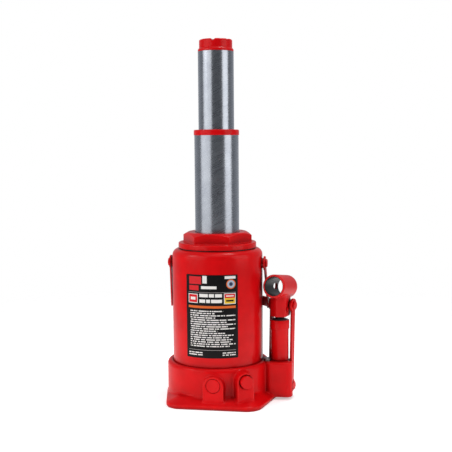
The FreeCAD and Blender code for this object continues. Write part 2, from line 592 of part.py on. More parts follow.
def make_plunger_seal():
    return ring(PLUNGER_RADIUS, PLUNGER_RADIUS - PLUNGER_SEAL_WIDTH,
                PLUNGER_SEAL_LOW, PLUNGER_SEAL_LOW + PLUNGER_SEAL_HEIGHT)


export(to_pump(ring(PUMP_WASHER_RADIUS, SPIGOT_RADIUS, BASE_HEIGHT, PUMP_SEAT)), "pump_cylinder_washer")
export(to_pump(make_pump_cylinder()), "pump_cylinder")
export(to_pump(make_pump_wiper()), "pump_wiper")
export(to_pump(make_plunger()), "pump_plunger")
export(to_pump(make_plunger_seal()), "plunger_seal")

# ---------------------------------------------------------------- handle socket

STEM_BOTTOM = 105.0
STEM_RIDGE = 11.5
STEM_CORNER = 6.6
FORK_HALF = 6.1
SOCKET_CENTRE_BACK = 2.5
SOCKET_CENTRE_HEIGHT = 142.6
TILT = math.radians(SOCKET_TILT)
SOCKET_AXIS = Vector(0, -math.cos(TILT), math.sin(TILT))
TOP_LUG_RADIUS = 7.0
STEM_FRONT_EDGE = 2.0
STEM_WAIST = 9.0
SOCKET_EDGE = 0.9
WINDOW_PLACE = -13.5
WINDOW_RADIUS = 3.8
WINDOW_RUN = 3.5
PIN_RIVET = 0.9


def along_socket(distance):
    return Vector(0, SOCKET_CENTRE_BACK, SOCKET_CENTRE_HEIGHT) + SOCKET_AXIS * distance


def make_socket():
    plan = [(-STEM_HALF_WIDTH, -STEM_CORNER, STEM_BOTTOM), (0, -STEM_RIDGE, STEM_BOTTOM),
            (STEM_HALF_WIDTH, -STEM_CORNER, STEM_BOTTOM), (STEM_HALF_WIDTH, 20, STEM_BOTTOM),
            (-STEM_HALF_WIDTH, 20, STEM_BOTTOM)]
    stem = prism(plan, (0, 0, SOCKET_CENTRE_HEIGHT - STEM_BOTTOM))
    front = [e for e in upright_edges(stem) if e.BoundBox.YMax < -STEM_CORNER + 0.1]
    stem = stem.makeFillet(STEM_FRONT_EDGE, front)
    back = TOP_PIN_BACK + TOP_LUG_RADIUS
    side = prism([(-40, -20, STEM_BOTTOM), (-40, STEM_WAIST, STEM_BOTTOM), (-40, back, TOP_PIN_HEIGHT - 4),
                  (-40, back, TOP_PIN_HEIGHT + 2), (-40, 11.5, TOP_PIN_HEIGHT + 8), (-40, 13, 145),
                  (-40, -20, 145)], (80, 0, 0))
    stem = stem.common(side)
    half = SOCKET_LENGTH / 2
    tube = Part.makeCylinder(SOCKET_RADIUS, SOCKET_LENGTH, along_socket(-half), SOCKET_AXIS)
    tube = tube.makeFillet(SOCKET_EDGE, [e for e in tube.Edges if e.Curve.TypeId == "Part::GeomCircle"])
    body = tube.fuse(stem)
    body = body.cut(Part.makeCylinder(SOCKET_BORE, SOCKET_LENGTH + 4, along_socket(-half - 2), SOCKET_AXIS))

    room = EYE_RADIUS + PIN_SLOT + BODY_GAP
    fork = rod_x(room, -FORK_HALF, FORK_HALF, 0, PLUNGER_PIN_HEIGHT)
    fork = fork.fuse(block(-FORK_HALF, FORK_HALF, -room, 0, STEM_BOTTOM - 5, PLUNGER_PIN_HEIGHT))
    fork = fork.fuse(block(-FORK_HALF, FORK_HALF, -1, 30, STEM_BOTTOM - 5, PLUNGER_PIN_HEIGHT + room))
    body = body.cut(fork)

    body = body.cut(rod_x(PLUNGER_PIN_RADIUS, -20, 20, 0, PLUNGER_PIN_HEIGHT))
    body = body.cut(rod_x(LINK_PIN_RADIUS + PIN_FIT, -20, 20, TOP_PIN_BACK, TOP_PIN_HEIGHT))

    window = along_socket(WINDOW_PLACE)
    hole = rod_x(WINDOW_RADIUS, -20, -5, window.y, window.z)
    run_rise = WINDOW_RUN * math.tan(TILT)
    hole = hole.fuse(rod_x(WINDOW_RADIUS, -20, -5, window.y - WINDOW_RUN, window.z + run_rise))
    return body.cut(hole).removeSplitter()


export(to_pump(make_socket()), "handle_socket")
pin_end = STEM_HALF_WIDTH + PIN_RIVET
export(to_pump(rod_x(PLUNGER_PIN_RADIUS, -pin_end, pin_end, 0, PLUNGER_PIN_HEIGHT)), "plunger_pin")

# ---------------------------------------------------------------- link

LINK_OUTSIDE = LINK_INSIDE + LINK_THICKNESS
PIN_HEAD = 2.3
PIN_HEAD_RADIUS = 5.3
CLIP_THICKNESS = 1.0
CLIP_REACH = 2.2
CLIP_GROOVE = 0.8
CLIP_MOUTH = 2.0
PIN_HEAD_EDGE = 0.9
SPACER_WALL = 2.6


def link_plate(low):
    """A bar with a round eye at each end, lying between two pins."""
    rise = Vector(0, TOP_PIN_BACK - LOW_PIN_BACK, TOP_PIN_HEIGHT - LOW_PIN_HEIGHT)
    length = rise.Length
    bar = block(low, low + LINK_THICKNESS, -LINK_WIDTH / 2, LINK_WIDTH / 2, 0, length)
    eyes = [rod_x(LINK_EYE_RADIUS, low, low + LINK_THICKNESS, 0, height) for height in (0, length)]
    plate = bar.multiFuse(eyes)
    plate = plate.cut(rod_x(LINK_PIN_RADIUS + PIN_FIT, low - 1, low + LINK_THICKNESS + 1, 0, 0))
    plate = plate.cut(rod_x(LINK_PIN_RADIUS, low - 1, low + LINK_THICKNESS + 1, 0, length))
    plate = plate.removeSplitter()
    plate.rotate(Vector(0, 0, 0), Vector(1, 0, 0), -math.degrees(math.atan2(rise.y, rise.z)))
    plate.translate(Vector(0, LOW_PIN_BACK, LOW_PIN_HEIGHT))
    return plate


def make_top_pin():
    end = -LINK_OUTSIDE - CLIP_THICKNESS - 0.4
    pin = rod_x(LINK_PIN_RADIUS, end, LINK_OUTSIDE, TOP_PIN_BACK, TOP_PIN_HEIGHT)
    head_end = LINK_OUTSIDE + PIN_HEAD
    head = rod_x(PIN_HEAD_RADIUS, LINK_OUTSIDE, head_end, TOP_PIN_BACK, TOP_PIN_HEIGHT)
    head = head.makeFillet(PIN_HEAD_EDGE, [e for e in head.Edges if abs(e.BoundBox.XMin - head_end) < 1e-6])
    low = -LINK_OUTSIDE - CLIP_THICKNESS
    groove = rod_x(LINK_PIN_RADIUS + 1, low, -LINK_OUTSIDE, TOP_PIN_BACK, TOP_PIN_HEIGHT)
    core = rod_x(LINK_PIN_RADIUS - CLIP_GROOVE, low, -LINK_OUTSIDE, TOP_PIN_BACK, TOP_PIN_HEIGHT)
    return pin.fuse(head).cut(groove.cut(core)).removeSplitter()


def make_top_clip():
    low = -LINK_OUTSIDE - CLIP_THICKNESS
    clip = rod_x(LINK_PIN_RADIUS + CLIP_REACH, low, -LINK_OUTSIDE, TOP_PIN_BACK, TOP_PIN_HEIGHT)
    clip = clip.cut(rod_x(LINK_PIN_RADIUS - CLIP_GROOVE, low - 1, 0, TOP_PIN_BACK, TOP_PIN_HEIGHT))
    mouth = block(low - 1, 0, TOP_PIN_BACK, TOP_PIN_BACK + 10, TOP_PIN_HEIGHT - CLIP_MOUTH,
                  TOP_PIN_HEIGHT + CLIP_MOUTH)
    return clip.cut(mouth)


def make_spacer(low, high):
    spacer = rod_x(LINK_PIN_RADIUS + SPACER_WALL, low, high, TOP_PIN_BACK, TOP_PIN_HEIGHT)
    return spacer.cut(rod_x(LINK_PIN_RADIUS, low - 1, high + 1, TOP_PIN_BACK, TOP_PIN_HEIGHT))


def make_low_pin(side):
    pin = rod_x(LINK_PIN_RADIUS, LOW_PIN_END, LINK_OUTSIDE + BODY_GAP, LOW_PIN_BACK, LOW_PIN_HEIGHT)
    start = LINK_OUTSIDE + BODY_GAP
    end = start + PIN_HEAD
    head = rod_x(PIN_HEAD_RADIUS, start, end, LOW_PIN_BACK, LOW_PIN_HEIGHT)
    head = head.makeFillet(PIN_HEAD_EDGE, [e for e in head.Edges if abs(e.BoundBox.XMin - end) < 1e-6])
    pin = pin.fuse(head).removeSplitter()
    if side < 0:
        pin = pin.mirror(Vector(0, 0, 0), Vector(1, 0, 0))
    return pin


plates = [link_plate(LINK_INSIDE), link_plate(-LINK_OUTSIDE)]
export(to_pump(Part.makeCompound(plates)), "link_plates")
export(to_pump(make_top_pin()), "link_top_pin")
export(to_pump(make_top_clip()), "link_top_clip")
spacer_start = STEM_HALF_WIDTH + BODY_GAP
spacers = [make_spacer(spacer_start, LINK_INSIDE), make_spacer(-LINK_INSIDE, -spacer_start)]
export(to_pump(Part.makeCompound(spacers)), "link_spacers")
export(to_pump(Part.makeCompound([make_low_pin(1), make_low_pin(-1)])), "link_base_pins")

# ---------------------------------------------------------------- carry bail

BAIL_EYE_RADIUS = 9.0
BAIL_ARM_WIDTH = 11.0
BAIL_LEAN = 17.0
BAIL_SPLAY = 2.6
BAND_GAP = 0.6
RIVET_BOSS_RADIUS = 6.5
RIVET_HEAD_RADIUS = 5.2
RIVET_HEAD = 2.3
RIVET_EDGE = 1.2
BAND_TOP = BAIL_BAND_BOTTOM + BAIL_BAND_HEIGHT
BAIL_OUTSIDE = BAIL_INSIDE + BAIL_THICKNESS


def bail_arm(side):
    """A flat strap from its eye at the pivot down and back to the band."""
    eye = rod_x(BAIL_EYE_RADIUS, BAIL_INSIDE, BAIL_OUTSIDE, 0, BAIL_PIVOT_HEIGHT)
    foot_z = BAIL_BAND_BOTTOM + 0.5
    half = BAIL_ARM_WIDTH / 2
    sections = []
    for z, centre, splay in ((BAIL_PIVOT_HEIGHT, 0, 0), (foot_z, BAIL_LEAN, BAIL_SPLAY)):
        inner = BAIL_INSIDE + splay
        corners = [Vector(inner, centre - half, z), Vector(inner + BAIL_THICKNESS, centre - half, z),
                   Vector(inner + BAIL_THICKNESS, centre + half, z), Vector(inner, centre + half, z)]
        sections.append(Part.makePolygon(corners + corners[:1]))
    arm = eye.fuse(Part.makeLoft(sections, True, True))
    arm = arm.cut(rod_x(BAIL_PIN_RADIUS + PIN_FIT, 0, 90, 0, BAIL_PIVOT_HEIGHT))
    if side < 0:
        arm = arm.mirror(Vector(0, 0, 0), Vector(1, 0, 0))
    return arm


def make_bail():
    """The band is an arc a little flatter than the tank, from the back edge of one arm to the other."""
    meet = BAIL_LEAN + BAIL_ARM_WIDTH / 2 - BAIL_THICKNESS
    side = BAIL_INSIDE + BAIL_SPLAY
    back = TANK_RADIUS + BAND_GAP
    centre = (side ** 2 + meet ** 2 - back ** 2) / (2 * (meet - back))
    radius = back - centre
    band = ring(radius + BAIL_THICKNESS, radius, BAIL_BAND_BOTTOM, BAND_TOP, 0, centre)
    reach = BAIL_OUTSIDE + BAIL_SPLAY + 1
    band = band.common(block(-reach, reach, meet, back + BAIL_THICKNESS + 1, BAIL_BAND_BOTTOM, BAND_TOP))
    return band.multiFuse([bail_arm(1), bail_arm(-1)]).removeSplitter()


def bail_rivet(side):
    shank = rod_x(BAIL_PIN_RADIUS, TANK_RADIUS - TANK_WALL - 1, BAIL_OUTSIDE + BODY_GAP, 0, BAIL_PIVOT_HEIGHT)
    boss = rod_x(RIVET_BOSS_RADIUS, TANK_RADIUS, BAIL_INSIDE - BODY_GAP, 0, BAIL_PIVOT_HEIGHT)
    start = BAIL_OUTSIDE + BODY_GAP
    end = start + RIVET_HEAD
    head = rod_x(RIVET_HEAD_RADIUS, start, end, 0, BAIL_PIVOT_HEIGHT)
    head = head.makeFillet(RIVET_EDGE, [e for e in head.Edges if abs(e.BoundBox.XMin - end) < 1e-6])
    rivet = shank.multiFuse([boss, head]).removeSplitter()
    if side < 0:
        rivet = rivet.mirror(Vector(0, 0, 0), Vector(1, 0, 0))
    return rivet


export(make_bail(), "carry_bail")
export(Part.makeCompound([bail_rivet(1), bail_rivet(-1)]), "bail_rivets")

# ---------------------------------------------------------------- valves

RELEASE_TIP = 29.2
RELEASE_NOSE = 26.5
RELEASE_NOSE_RADIUS = 3.2
RELEASE_RIM = 0.8
ORING_LOW = 12.0
ORING_HIGH = 14.6
ORING_CORE = 4.4
ORING_EASE = 0.3
CHECK_BALL = 3.0
PLUG_INSET = 1.0
PLUG_LENGTH = 10.0
SPRING_COIL = 2.6
SPRING_WIRE = 0.5
SPRING_PITCH = 2.2
SPRING_LENGTH = 11.0
SCREW_HEAD_RADIUS = 4.6
SCREW_HEAD = 3.2
SCREW_SLOT = 0.6
SCREW_SLOT_DEPTH = 1.6
SCREW_NOSE = 2.2


def make_release_screw():
    stub = release_rod(RELEASE_RADIUS, -RELEASE_PROUD, RELEASE_STUB_DEPTH - 0.5)
    outer = RELEASE_FACE + RELEASE_DIRECTION * RELEASE_PROUD
    rim = [e for e in stub.Edges if e.Curve.TypeId == "Part::GeomCircle" and
           e.Curve.Center.distanceToPoint(outer) < 1e-6]
    stub = stub.makeFillet(RELEASE_RIM, rim)
    shank = release_rod(RELEASE_SHANK, RELEASE_STUB_DEPTH - 0.6, RELEASE_NOSE)
    screw = stub.multiFuse([shank, release_rod(RELEASE_NOSE_RADIUS, RELEASE_NOSE, RELEASE_TIP)])
    groove = release_rod(RELEASE_SHANK + 1, ORING_LOW, ORING_HIGH)
    groove = groove.cut(release_rod(ORING_CORE, ORING_LOW - 1, ORING_HIGH + 1))
    return screw.cut(groove).removeSplitter()


def release_ball():
    centre = RELEASE_FACE - RELEASE_DIRECTION * (RELEASE_TIP + BODY_GAP + CHECK_BALL)
    return Part.makeSphere(CHECK_BALL, centre)


def release_oring():
    band = release_rod(RELEASE_SHANK, ORING_LOW + ORING_EASE, ORING_HIGH - ORING_EASE)
    return band.cut(release_rod(ORING_CORE + ORING_EASE, ORING_LOW, ORING_HIGH))


export(make_release_screw(), "release_screw")
export(release_ball(), "release_ball")
export(release_oring(), "release_oring")


def make_plug():
    face = PLUG_FACE + PLUG_INSET
    plug = Part.makeCylinder(PLUG_RADIUS, PLUG_LENGTH, Vector(PLUG_OFFSET, face, PLUG_HEIGHT), Vector(0, 1, 0))
    plug = plug.makeFillet(1.0, [e for e in plug.Edges if abs(e.BoundBox.YMax - face) < 1e-6])
    return plug


def relief_spring():
    coil = Part.makeHelix(SPRING_PITCH, SPRING_LENGTH, SPRING_COIL)
    start = Vector(SPRING_COIL, 0, 0)
    profile = Part.Wire(Part.makeCircle(SPRING_WIRE, start, Vector(0, 1, 0)))
    spring = Part.Wire(coil).makePipeShell([profile], True, True)
    spring.rotate(Vector(0, 0, 0), Vector(1, 0, 0), -90)
    spring.translate(Vector(PLUG_OFFSET, PLUG_FACE + PLUG_INSET + PLUG_LENGTH + 2 * BODY_GAP, PLUG_HEIGHT))
    return spring


export(make_plug(), "relief_plug")
export(relief_spring(), "relief_spring")
relief_seat = PLUG_FACE + PLUG_DEPTH
export(Part.makeSphere(CHECK_BALL, Vector(PLUG_OFFSET, relief_seat - CHECK_BALL, PLUG_HEIGHT)), "relief_ball")

# Suction ball under its cage in the pump's foot, delivery ball beside it under its bare screw
BALL_REST = math.sqrt(BALL_RADIUS ** 2 - VALVE_SEAT ** 2) + 0.2
BALL_LIFT = 1.0
CAGE_HOLE = 1.2
CAGE_HEIGHT = 1.5
suction_height = SUCTION_SEAT + BALL_REST
delivery_height = DELIVERY_SEAT + BALL_REST
cage_low = suction_height + BALL_RADIUS + BALL_LIFT + BODY_GAP
export(Part.makeSphere(BALL_RADIUS, Vector(PUMP_OFFSET, 0, suction_height)), "suction_ball")
export(ring(VALVE_BORE, CAGE_HOLE, cage_low, cage_low + CAGE_HEIGHT, PUMP_OFFSET), "suction_ball_cage")
export(Part.makeSphere(BALL_RADIUS, Vector(DELIVERY_X, DELIVERY_Y, delivery_height)), "delivery_ball")


def make_delivery_screw():
    top = BASE_HEIGHT + SCREW_HEAD
    shank = disc(DELIVERY_SCREW_RADIUS, DELIVERY_SCREW_SEAT, BASE_HEIGHT, DELIVERY_X, DELIVERY_Y)
    head = disc(SCREW_HEAD_RADIUS, BASE_HEIGHT, top, DELIVERY_X, DELIVERY_Y)
    head = head.makeChamfer(0.5, top_edges(head, top))
    slot = block(DELIVERY_X - 6, DELIVERY_X + 6, DELIVERY_Y - SCREW_SLOT, DELIVERY_Y + SCREW_SLOT,
                 top - SCREW_SLOT_DEPTH, top + 1)
    nose_end = delivery_height + BALL_RADIUS + BALL_LIFT + BODY_GAP
    nose = disc(SCREW_NOSE, nose_end, DELIVERY_SCREW_SEAT, DELIVERY_X, DELIVERY_Y)
    return shank.multiFuse([head, nose]).cut(slot).removeSplitter()


export(make_delivery_screw(), "delivery_screw")

# Strainer cup over the suction drilling in the floor of the oil well
export(ring(4.0, 3.2, WELL_FLOOR, WELL_FLOOR + 5, STRAINER_X, STRAINER_Y), "oil_strainer")
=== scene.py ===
import json
import math

import bpy
from mathutils import Matrix, Vector


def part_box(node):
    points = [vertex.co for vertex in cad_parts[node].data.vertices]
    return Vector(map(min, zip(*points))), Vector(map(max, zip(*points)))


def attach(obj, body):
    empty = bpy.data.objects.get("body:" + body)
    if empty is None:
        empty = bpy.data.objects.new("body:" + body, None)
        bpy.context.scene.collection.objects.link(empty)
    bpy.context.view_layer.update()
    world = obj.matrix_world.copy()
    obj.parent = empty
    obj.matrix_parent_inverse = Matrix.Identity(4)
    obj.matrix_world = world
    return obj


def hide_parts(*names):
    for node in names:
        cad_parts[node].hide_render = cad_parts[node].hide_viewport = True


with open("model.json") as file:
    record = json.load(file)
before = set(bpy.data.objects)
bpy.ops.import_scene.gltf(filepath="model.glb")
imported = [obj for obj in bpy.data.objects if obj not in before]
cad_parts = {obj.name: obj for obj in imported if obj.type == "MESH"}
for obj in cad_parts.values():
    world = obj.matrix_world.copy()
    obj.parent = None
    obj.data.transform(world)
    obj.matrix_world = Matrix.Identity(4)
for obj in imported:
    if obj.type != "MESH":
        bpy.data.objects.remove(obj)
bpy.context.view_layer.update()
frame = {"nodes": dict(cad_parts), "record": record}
nodes = frame["nodes"]

# A double-ram bottle jack with both rams out. Metres, +Z up, origin on the ram axis at the foot.

MM = 0.001


# ---------------------------------------------------------------- colours and shader nodes

def linear(code):
    """An sRGB hex code as the linear red, green, blue and alpha that a shader reads."""
    shares = [int(code[i:i + 2], 16) / 255 for i in (0, 2, 4)]
    return [s / 12.92 if s <= 0.04045 else ((s + 0.055) / 1.055) ** 2.4 for s in shares] + [1.0]


def add(tree, kind, inputs=(), out=0, **settings):
    """Adds one shader node and gives its output; an input is a value, or the output that feeds it."""
    made = tree.nodes.new("ShaderNode" + kind)
    for name, value in settings.items():
        setattr(made, name, value)
    for key, value in dict(inputs).items():
        if isinstance(value, bpy.types.NodeSocket):
            tree.links.new(value, made.inputs[key])
        else:
            made.inputs[key].default_value = value
    return made.outputs[out] if made.outputs else made


def begin(name):
    """A new material, its empty tree, and its object coordinates."""
    material = bpy.data.materials.new(name)
    material.use_nodes = True
    material.node_tree.nodes.clear()
    return material, material.node_tree, add(material.node_tree, "TexCoord", out="Object")


def close(tree, inputs):
    """Ends a material in the principled shader with these values."""
    add(tree, "OutputMaterial", {"Surface": add(tree, "BsdfPrincipled", inputs)})


# ---------------------------------------------------------------- red enamel

RED_DEEP = "CB060B"
RED_FRESH = "D8080E"
RED_CORNER_SHADE = "7A0407"
RED_EDGE_HIGHLIGHT = "E63C36"
ENAMEL_CLOUD = 22 * MM
CORNER_SHADE_REACH = 20 * MM
ORANGE_PEEL = 1.6 * MM
# Moulding sand is finer than this. It is drawn coarser so that the grain shows.
SAND_GRAIN = 1.4 * MM
CAST_LUMP = 7 * MM
BORE_SHADE_DARK = "1A1817"
BORE_SHADE_PALE = "3C3836"


def enamel_with_corner_shade(tree, place):
    """Red enamel: a shade deeper where it lies thick, and darkened in the corners and between close parts
    as painted shade.
    """
    cloud = add(tree, "TexNoise", {"Vector": place, "Scale": 1 / ENAMEL_CLOUD, "Detail": 3.0})
    share = add(tree, "MapRange", {"Value": cloud, "From Min": 0.35, "From Max": 0.65})
    clean = add(tree, "Mix", {0: share, 6: linear(RED_DEEP), 7: linear(RED_FRESH)},
                out=2, data_type="RGBA")
    # Painted shade: the colour goes dark red where ambient occlusion finds corners and parts close
    # together.
    open_share = add(tree, "AmbientOcclusion", {"Distance": CORNER_SHADE_REACH}, out="AO", samples=8)
    corner = add(tree, "MapRange", {"Value": open_share, "From Min": 0.25, "From Max": 0.85})
    return add(tree, "Mix", {0: corner, 6: linear(RED_CORNER_SHADE), 7: clean}, out=2, data_type="RGBA")


def gloss_red_enamel():
    """Sprayed enamel on sheet and bar: a smooth gloss with a faint orange peel."""
    material, tree, place = begin("gloss_red_enamel")
    peel = add(tree, "TexNoise", {"Vector": place, "Scale": 1 / ORANGE_PEEL, "Detail": 1.0})
    bump = add(tree, "Bump", {"Height": peel, "Strength": 0.1, "Distance": 0.05 * MM})
    rough = add(tree, "MapRange", {"Value": peel, "To Min": 0.3, "To Max": 0.36})
    close(tree, {"Base Color": enamel_with_corner_shade(tree, place), "Roughness": rough, "Normal": bump,
                 "IOR": 1.5, "Specular IOR Level": 0.09, "Coat Weight": 0.14, "Coat Roughness": 0.08})
    return material


def sand_grain(tree, place):
    """The sand's own pattern, and the bump it leaves under thick enamel: fine dimples on slow lumps."""
    sand = add(tree, "TexNoise", {"Vector": place, "Scale": 1 / SAND_GRAIN, "Detail": 3.0,
                                  "Roughness": 0.6})
    lumps = add(tree, "TexNoise", {"Vector": place, "Scale": 1 / CAST_LUMP, "Detail": 2.0})
    height = add(tree, "Math", {0: lumps, 1: 2.0, 2: sand}, operation="MULTIPLY_ADD")
    return sand, add(tree, "Bump", {"Height": height, "Strength": 0.3, "Distance": 0.14 * MM})


def enamel_with_edge_highlight(tree, place, sand):
    """The casting's colour: a paler red painted on its edges as a highlight, in patches."""
    edge = add(tree, "MapRange", {"Value": add(tree, "NewGeometry", out="Pointiness"),
                                  "From Min": 0.515, "From Max": 0.6, "To Max": 1.0})
    patch = add(tree, "MapRange", {"Value": sand, "From Min": 0.4, "From Max": 0.6,
                                   "To Min": 0.2, "To Max": 0.9})
    # Painted highlight: the convex edges that Pointiness finds are mixed toward a paler red.
    thin = add(tree, "Math", {0: edge, 1: patch}, operation="MULTIPLY")
    return add(tree, "Mix", {0: thin, 6: enamel_with_corner_shade(tree, place), 7: linear(RED_EDGE_HIGHLIGHT)},
               out=2, data_type="RGBA")


def cast_red_enamel():
    """Thick enamel over a sand casting: the sand's grain shows as soft dimples under the gloss."""
    material, tree, place = begin("cast_red_enamel")
    sand, bump = sand_grain(tree, place)
    rough = add(tree, "MapRange", {"Value": sand, "From Min": 0.3, "From Max": 0.7,
                                   "To Min": 0.34, "To Max": 0.44})
    close(tree, {"Base Color": enamel_with_edge_highlight(tree, place, sand), "Roughness": rough, "Normal": bump,
                 "IOR": 1.5, "Specular IOR Level": 0.07, "Coat Weight": 0.1, "Coat Roughness": 0.12})
    return material


def bored_red_casting(middle, axis, radius):
    """The same enamelled casting, with its bore left as bare reamed steel, coloured near black as painted
    shade down in the bore.
    """
    material, tree, place = begin("bored_red_casting")
    sand, bump = sand_grain(tree, place)
    across = add(tree, "VectorMath", {0: place, 1: middle}, operation="SUBTRACT")
    swept = add(tree, "VectorMath", {0: across, 1: axis}, operation="CROSS_PRODUCT")
    reach = add(tree, "VectorMath", {0: swept}, out="Value", operation="LENGTH")
    bare = add(tree, "Math", {0: reach, 1: radius}, operation="LESS_THAN")
    # Painted shade: the bare steel in the bore is given a near-black colour.
    steel = add(tree, "Mix", {0: sand, 6: linear(BORE_SHADE_DARK), 7: linear(BORE_SHADE_PALE)},
                out=2, data_type="RGBA")
    colour = add(tree, "Mix", {0: bare, 6: enamel_with_edge_highlight(tree, place, sand), 7: steel},
                 out=2, data_type="RGBA")
    close(tree, {"Base Color": colour, "Metallic": bare, "Roughness": 0.4, "Normal": bump,
                 "Specular IOR Level": 0.25})
    return material


# ---------------------------------------------------------------- bare metal and rubber

# Grinding and turning marks are a few hundredths of a millimetre apart. These are drawn coarser to show.
GRINDING_MARK = 0.9 * MM
GRINDING_SLANT = math.radians(-28)
GRINDING_STRETCH = 20.0
STEEL_CLOUD = 16 * MM
TURNING_MARK = 0.5 * MM
OIL_CLOUD = 5 * MM
SCUFF = 0.8 * MM
RUBBER_GRAIN = 0.6 * MM
BRASS_CLOUD = 3 * MM


def ground_steel():
    """Hardened ram steel, ground on a slant: fine scratches round it, and highlights that run up it."""
    material, tree, place = begin("ground_steel")
    slant = add(tree, "Mapping", {"Vector": place, "Rotation": (0.0, GRINDING_SLANT, 0.0),
                                  "Scale": (GRINDING_STRETCH, GRINDING_STRETCH, 1.0)},
                vector_type="TEXTURE")
    marks = add(tree, "TexNoise", {"Vector": slant, "Scale": 1 / GRINDING_MARK, "Detail": 2.0})
    cloud = add(tree, "TexNoise", {"Vector": place, "Scale": 1 / STEEL_CLOUD, "Detail": 3.0})
    share = add(tree, "MapRange", {"Value": cloud, "From Min": 0.3, "From Max": 0.7})
    colour = add(tree, "Mix", {0: share, 6: linear("9CA0A8"), 7: linear("A8ACB3")},
                 out=2, data_type="RGBA")
    bump = add(tree, "Bump", {"Height": marks, "Strength": 0.1, "Distance": 0.01 * MM})
    rough = add(tree, "MapRange", {"Value": marks, "From Min": 0.3, "From Max": 0.7,
                                   "To Min": 0.24, "To Max": 0.33})
    close(tree, {"Base Color": colour, "Metallic": 1.0, "Roughness": rough, "Normal": bump,
                 "Anisotropic": 0.6, "Anisotropic Rotation": 0.25})
    return material


def turned_steel():
    """Bare turned steel: tool rings and a little oil film."""
    material, tree, place = begin("turned_steel")
    squeeze = add(tree, "Mapping", {"Vector": place, "Scale": (0.15, 0.15, 1.0)})
    rings = add(tree, "TexNoise", {"Vector": squeeze, "Scale": 1 / TURNING_MARK})
    cloud = add(tree, "TexNoise", {"Vector": place, "Scale": 1 / OIL_CLOUD, "Detail": 4.0})
    colour = add(tree, "Mix", {0: cloud, 6: linear("6E6B6C"), 7: linear("A09E9C")},
                 out=2, data_type="RGBA")
    bump = add(tree, "Bump", {"Height": rings, "Strength": 0.3, "Distance": 0.03 * MM})
    rough = add(tree, "MapRange", {"Value": cloud, "From Min": 0.3, "From Max": 0.7,
                                   "To Min": 0.3, "To Max": 0.48})
    close(tree, {"Base Color": colour, "Metallic": 1.0, "Roughness": rough, "Normal": bump})
    return material


def blackened_steel():
    """Oil-blackened steel: near black, satin, with thin wear lines along it."""
    material, tree, place = begin("blackened_steel")
    stretch = add(tree, "Mapping", {"Vector": place, "Scale": (1.0, 1.0, 0.12)})
    scuffs = add(tree, "TexNoise", {"Vector": stretch, "Scale": 1 / SCUFF, "Detail": 3.0})
    worn = add(tree, "MapRange", {"Value": scuffs, "From Min": 0.6, "From Max": 0.75})
    colour = add(tree, "Mix", {0: worn, 6: linear("161517"), 7: linear("3A383B")},
                 out=2, data_type="RGBA")
    close(tree, {"Base Color": colour, "Metallic": 0.8, "Roughness": 0.32})
    return material


def nitrile_rubber():
    """Moulded nitrile rubber: dull black with a fine grain."""
    material, tree, place = begin("nitrile_rubber")
    skin = add(tree, "TexNoise", {"Vector": place, "Scale": 1 / RUBBER_GRAIN, "Detail": 3.0})
    bump = add(tree, "Bump", {"Height": skin, "Strength": 0.2, "Distance": 0.05 * MM})
    colour = add(tree, "Mix", {0: skin, 6: linear("100F10"), 7: linear("1C1B1C")},
                 out=2, data_type="RGBA")
    close(tree, {"Base Color": colour, "Roughness": 0.55, "Normal": bump})
    return material


def soft_brass():
    """Pressed brass and copper: a warm metal, dulled a little by oil."""
    material, tree, place = begin("soft_brass")
    cloud = add(tree, "TexNoise", {"Vector": place, "Scale": 1 / BRASS_CLOUD, "Detail": 3.0})
    colour = add(tree, "Mix", {0: cloud, 6: linear("B5823F"), 7: linear("C99A58")},
                 out=2, data_type="RGBA")
    rough = add(tree, "MapRange", {"Value": cloud, "From Min": 0.3, "From Max": 0.7,
                                   "To Min": 0.28, "To Max": 0.4})
    close(tree, {"Base Color": colour, "Metallic": 1.0, "Roughness": rough})
    return material


# ---------------------------------------------------------------- the label's print

# All in millimetres, across from the label's middle line and up from its bottom edge.
LABEL_WIDTH = 68.0
LABEL_TALL = 104.0
LABEL_BLACK = "0D0C0D"
PRINT_RED = "D2232A"
PRINT_WHITE = "E9E6E2"
PRINT_GREY = "8E8A88"
PRINT_ORANGE = "D9662B"
PRINT_YELLOW = "E2B93B"
PRINT_PALE_BLUE = "A9B4C4"
PRINT_BLUE = "2E3A55"
# Plain blocks and rules: left, right, low, high and ink.
LABEL_BLOCKS = [
    (-29.4, -12.4, 92.4, 102.0, PRINT_RED),
    (-29.4, -16.0, 84.6, 90.8, PRINT_RED),
    (-10.8, -5.2, 93.6, 103.0, PRINT_WHITE),
    (-12.6, 7.0, 86.6, 90.2, PRINT_WHITE),
    (17.0, 31.0, 99.2, 102.6, PRINT_WHITE),
    (-30.6, 31.0, 82.0, 82.6, PRINT_GREY),
    (-30.6, -17.3, 68.8, 80.2, PRINT_WHITE),
    (-29.8, -18.1, 69.6, 79.4, PRINT_RED),
    (-27.4, -20.5, 72.8, 76.2, PRINT_WHITE),
    (16.0, 31.0, 67.8, 81.2, PRINT_WHITE),
    (16.7, 30.3, 75.4, 80.5, PRINT_RED),
    (16.7, 30.3, 68.5, 75.4, PRINT_YELLOW),
    (18.6, 28.4, 77.2, 78.6, PRINT_WHITE),
    (18.6, 28.4, 70.9, 73.0, LABEL_BLACK),
    (-30.6, 31.0, 62.6, 65.6, PRINT_ORANGE),
    (-30.6, 31.0, 9.8, 10.4, PRINT_GREY),
]
# Two heading lines of plain blocks: each line's bottom, and the blocks' lengths.
HEADINGS = ((76.4, (11.0, 6.4, 8.5)), (69.4, (7.6, 4.8, 13.5)))
HEADING_LEFT = -15.0
HEADING_TALL = 4.2
HEADING_GAP = 1.3
